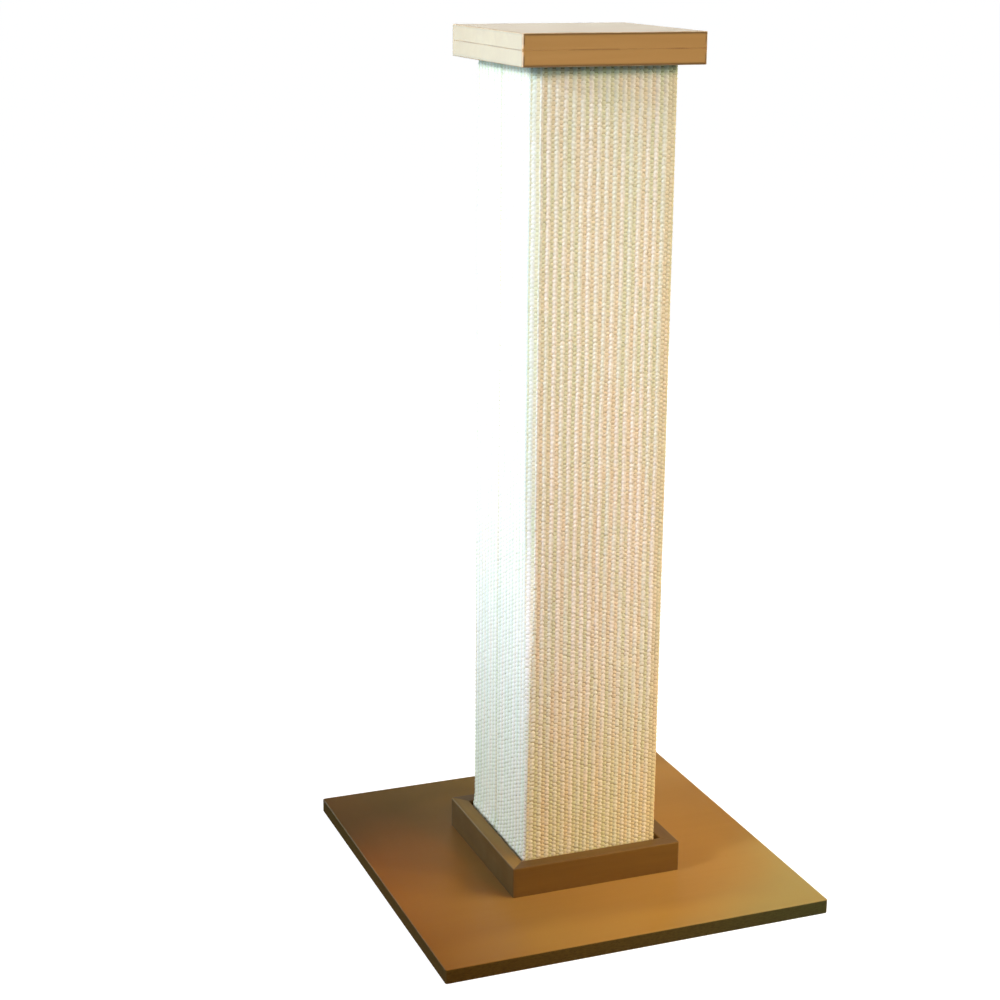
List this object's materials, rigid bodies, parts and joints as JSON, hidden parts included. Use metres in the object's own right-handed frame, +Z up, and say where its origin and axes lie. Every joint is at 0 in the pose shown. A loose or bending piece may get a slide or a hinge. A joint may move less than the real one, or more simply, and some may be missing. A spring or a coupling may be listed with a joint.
{
  "type": "cat scratching post",
  "caption": "Free-standing square scratching post: woven sisal over a hollow board column, on a flat wooden base with a mitred collar, under a two-ply square cap.",
  "frame": {"origin": "centre of the base board's underside, on the surface that the post stands on", "axes": "+Z up along the column, -Y the front face, -X the left face with the fabric's vertical seam"},
  "size_m": [0.4064, 0.4064, 0.858],
  "materials": {
    "base_lacquer": "satin brown lacquer on fine-grained board, golden where light falls on it",
    "collar_lacquer": "satin brown lacquer, slightly lighter on the eased edges",
    "cap_lacquer": "satin brown lacquer over two glued plies, darker line at the glue joint",
    "raw_board": "raw fibreboard, unfinished",
    "raw_block": "raw softwood block, unfinished",
    "sisal": "coarse woven sisal, vertical ribs of pale and tan yarn, matt and slightly hairy",
    "steel": "bright zinc-plated steel",
    "insert_zinc": "yellow zinc plate"
  },
  "bodies": {
    "root": {"base_board": "base_lacquer", "collar_rail_front": "collar_lacquer", "collar_rail_back": "collar_lacquer", "collar_rail_left": "collar_lacquer", "collar_rail_right": "collar_lacquer", "collar_screw_front": "steel", "collar_screw_back": "steel", "collar_screw_left": "steel", "collar_screw_right": "steel", "base_bolt_front_left": "steel", "base_washer_front_left": "steel", "base_bolt_back_right": "steel", "base_washer_back_right": "steel", "threaded_insert_front_left": "insert_zinc", "threaded_insert_back_right": "insert_zinc", "core_panel_front": "raw_board", "core_panel_back": "raw_board", "core_panel_left": "raw_board", "core_panel_right": "raw_board", "core_block_bottom": "raw_block", "core_block_top": "raw_block", "core_screw_bottom_front": "steel", "core_screw_bottom_back": "steel", "core_screw_bottom_left": "steel", "core_screw_bottom_right": "steel", "core_screw_top_front": "steel", "core_screw_top_back": "steel", "core_screw_top_left": "steel", "core_screw_top_right": "steel", "sisal_wrap": "sisal", "fabric_staple_front_a": "steel", "fabric_staple_front_b": "steel", "fabric_staple_back_a": "steel", "fabric_staple_back_b": "steel", "fabric_staple_left_a": "steel", "fabric_staple_left_b": "steel", "fabric_staple_right_a": "steel", "fabric_staple_right_b": "steel", "cap_board_lower": "cap_lacquer", "cap_board_upper": "cap_lacquer", "cap_screw_front_left": "steel", "cap_screw_front_right": "steel", "cap_screw_back_left": "steel", "cap_screw_back_right": "steel"}
  },
  "joints": []
}
